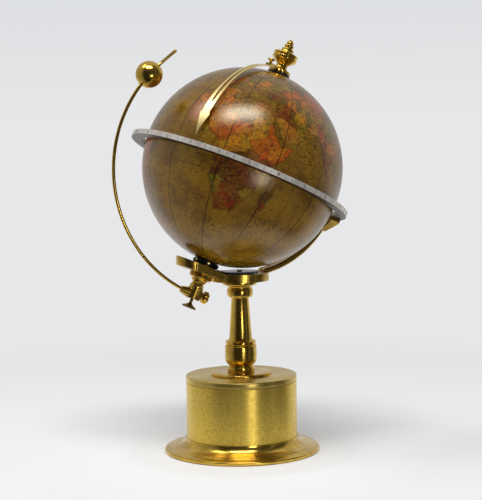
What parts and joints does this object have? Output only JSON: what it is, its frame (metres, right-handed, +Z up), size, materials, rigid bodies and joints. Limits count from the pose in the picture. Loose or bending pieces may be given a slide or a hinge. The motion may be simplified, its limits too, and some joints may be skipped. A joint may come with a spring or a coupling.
{
  "type": "clockwork terrestrial globe",
  "caption": "Terrestrial globe on a turned column and round clock drum, with a tilted hour ring, an hour pointer and a curved rod carrying a sun ball.",
  "frame": {"origin": "centre of the foot's underside, on the axis of the column and drum", "axes": "+Z up the column; +X to the right and +Y away from the viewer in the reference view. The polar axis leans 24 degrees from +Z, towards a heading 24 degrees from +X to +Y"},
  "size_m": [0.1449, 0.1424, 0.2595],
  "materials": {
    "polished_brass": "polished, aged",
    "satin_brass": "fine turned satin",
    "mottled_brass": "fine mottled patina",
    "dark_brass": "darkened",
    "movement_brass": "grained",
    "silvered_ring": "silvered and brushed, with black numerals",
    "steel": "turned",
    "blued_steel": "blued",
    "black_collar": "black lacquer, worn",
    "globe_paper": "varnished printed paper over a pressed fibre shell",
    "fibre": "raw pressed fibre"
  },
  "bodies": {
    "stand": {"base_foot": "polished_brass", "bottom_cover": "satin_brass", "cover_screws": "steel", "drum_case": "mottled_brass", "drum_lid": "polished_brass", "column_plinth": "polished_brass", "column": "polished_brass", "column_nut": "satin_brass", "bracket": "polished_brass", "bracket_screws": "satin_brass", "upper_bush": "satin_brass", "hour_ring": "silvered_ring", "ring_screws": "steel", "idler_stud": "steel", "arm_bearing": "polished_brass", "movement_base_plate": "movement_brass", "movement_top_plate": "movement_brass", "movement_pillars": "movement_brass", "pillar_screws": "blued_steel", "click_spring": "blued_steel", "escapement_platform": "movement_brass", "balance_cock": "movement_brass"},
    "globe": {"globe_north": "globe_paper", "globe_south": "globe_paper", "equator_hoop": "fibre", "pole_plugs": "fibre", "polar_arbor": "steel", "polar_wheel": "dark_brass", "south_collar": "black_collar", "collar_screws": "steel", "north_washer": "black_collar"},
    "idler": {"idler_wheel": "dark_brass"},
    "drive": {"drive_shaft": "steel", "drive_wheel": "steel", "drive_wheel_screw": "black_collar"},
    "pointer": {"pointer_hub": "polished_brass", "hour_pointer": "polished_brass"},
    "pointer_screw": {"pointer_screw": "polished_brass"},
    "finial": {"finial": "polished_brass"},
    "sun_arm": {"arm_block": "polished_brass", "sun_rod": "polished_brass"},
    "arm_knob": {"arm_knob": "polished_brass"},
    "thumb_screw": {"thumb_screw": "dark_brass"},
    "sun": {"sun_ball": "polished_brass"},
    "third": {"third_wheel": "movement_brass"},
    "escape": {"escape_wheel": "movement_brass"},
    "centre": {"centre_wheel": "movement_brass"},
    "barrel": {"spring_barrel": "movement_brass", "barrel_cover": "movement_brass", "mainspring": "blued_steel"},
    "intermediate": {"intermediate_wheel": "movement_brass"},
    "output": {"output_wheel": "movement_brass"},
    "winding": {"barrel_arbor": "steel", "ratchet_wheel": "steel", "winding_key": "polished_brass"},
    "click": {"click": "steel"},
    "lever": {"lever": "steel"},
    "balance": {"balance_wheel": "movement_brass", "hairspring": "blued_steel"},
    "regulator": {"regulator": "steel"}
  },
  "joints": [
    {"name": "globe_turn", "type": "hinge", "parent": "stand", "child": "globe", "pos_m": [0.00286, 0.00127, 0.1793], "axis": [0.3716, 0.1654, 0.9135], "continuous": true},
    {"name": "idler_turn", "type": "hinge", "parent": "stand", "child": "idler", "pos_m": [0, 0, 0.17227], "axis": [0.2179, 0.097, 0.9711], "continuous": true},
    {"name": "drive_turn", "type": "hinge", "parent": "stand", "child": "drive", "pos_m": [0, 0, 0.1], "axis": [0, 0, 1], "continuous": true},
    {"name": "pointer_set", "type": "hinge", "parent": "globe", "child": "pointer", "pos_m": [0.00286, 0.00127, 0.1793], "axis": [0.3716, 0.1654, 0.9135], "continuous": true},
    {"name": "pointer_screw_turn", "type": "hinge", "parent": "pointer", "child": "pointer_screw", "pos_m": [0.02107, 0.00016, 0.24314], "axis": [0.2743, -0.0168, 0.9615], "continuous": true},
    {"name": "finial_turn", "type": "hinge", "parent": "globe", "child": "finial", "pos_m": [0.00286, 0.00127, 0.1793], "axis": [0.3716, 0.1654, 0.9135], "continuous": true},
    {"name": "arm_swing", "type": "hinge", "parent": "stand", "child": "sun_arm", "pos_m": [0.00286, 0.00127, 0.1793], "axis": [0.3716, 0.1654, 0.9135], "range_deg": [-140, 160]},
    {"name": "arm_knob_turn", "type": "hinge", "parent": "sun_arm", "child": "arm_knob", "pos_m": [-0.02348, -0.01069, 0.09957], "axis": [0.8483, 0.3395, -0.4065], "continuous": true},
    {"name": "thumb_screw_turn", "type": "hinge", "parent": "stand", "child": "thumb_screw", "pos_m": [-0.03058, -0.01362, 0.09708], "axis": [0.3716, 0.1654, 0.9135], "continuous": true},
    {"name": "ball_slide", "type": "hinge", "parent": "sun_arm", "child": "sun", "pos_m": [0.00256, 0.00114, 0.17857], "axis": [-0.3774, 0.926, -0.0142], "range_deg": [-44, 0]},
    {"name": "third_turn", "type": "hinge", "parent": "stand", "child": "third", "pos_m": [0.00085, 0.01744, 0.025], "axis": [0, 0, 1], "continuous": true},
    {"name": "escape_turn", "type": "hinge", "parent": "stand", "child": "escape", "pos_m": [0.00851, 0.01302, 0.03], "axis": [0, 0, 1], "continuous": true},
    {"name": "centre_turn", "type": "hinge", "parent": "stand", "child": "centre", "pos_m": [-0.00958, 0.01465, 0.025], "axis": [0, 0, 1], "continuous": true},
    {"name": "barrel_turn", "type": "hinge", "parent": "stand", "child": "barrel", "pos_m": [-0.0165, 0, 0.02], "axis": [0, 0, 1], "continuous": true},
    {"name": "intermediate_turn", "type": "hinge", "parent": "stand", "child": "intermediate", "pos_m": [-0.00078, 0.01438, 0.034], "axis": [0, 0, 1], "continuous": true},
    {"name": "output_turn", "type": "hinge", "parent": "stand", "child": "output", "pos_m": [0, 0, 0.034], "axis": [0, 0, 1], "continuous": true},
    {"name": "winding_turn", "type": "hinge", "parent": "stand", "child": "winding", "pos_m": [-0.0165, 0, 0.012], "axis": [0, 0, 1], "continuous": true},
    {"name": "click_swing", "type": "hinge", "parent": "stand", "child": "click", "pos_m": [-0.0165, -0.0105, 0.012], "axis": [0, 0, 1], "range_deg": [-12, 0], "stiffness_Nm_per_rad": 0.00002, "springref_deg": 5.73, "deforming": ["click_spring"]},
    {"name": "lever_rock", "type": "hinge", "parent": "stand", "child": "lever", "pos_m": [0.01314, 0.00751, 0.039], "axis": [0, 0, 1], "range_deg": [-5, 5]},
    {"name": "balance_swing", "type": "hinge", "parent": "stand", "child": "balance", "pos_m": [0.01732, 0.00253, 0.041], "axis": [0, 0, 1], "range_deg": [-200, 200], "stiffness_Nm_per_rad": 0.000017, "deforming": ["hairspring"]},
    {"name": "regulator_turn", "type": "hinge", "parent": "stand", "child": "regulator", "pos_m": [0.01732, 0.00253, 0.045], "axis": [0, 0, 1], "range_deg": [-20, 20]}
  ],
  "couplings": [
    {"joint": "idler_turn", "follows": "globe_turn", "ratio": -2.4},
    {"joint": "drive_turn", "follows": "globe_turn", "ratio": 0.66667},
    {"joint": "escape_turn", "follows": "third_turn", "ratio": -7.5},
    {"joint": "centre_turn", "follows": "third_turn", "ratio": -0.125},
    {"joint": "barrel_turn", "follows": "third_turn", "ratio": 0.015625},
    {"joint": "intermediate_turn", "follows": "third_turn", "ratio": 0.027778},
    {"joint": "output_turn", "follows": "third_turn", "ratio": -0.0034722}
  ]
}
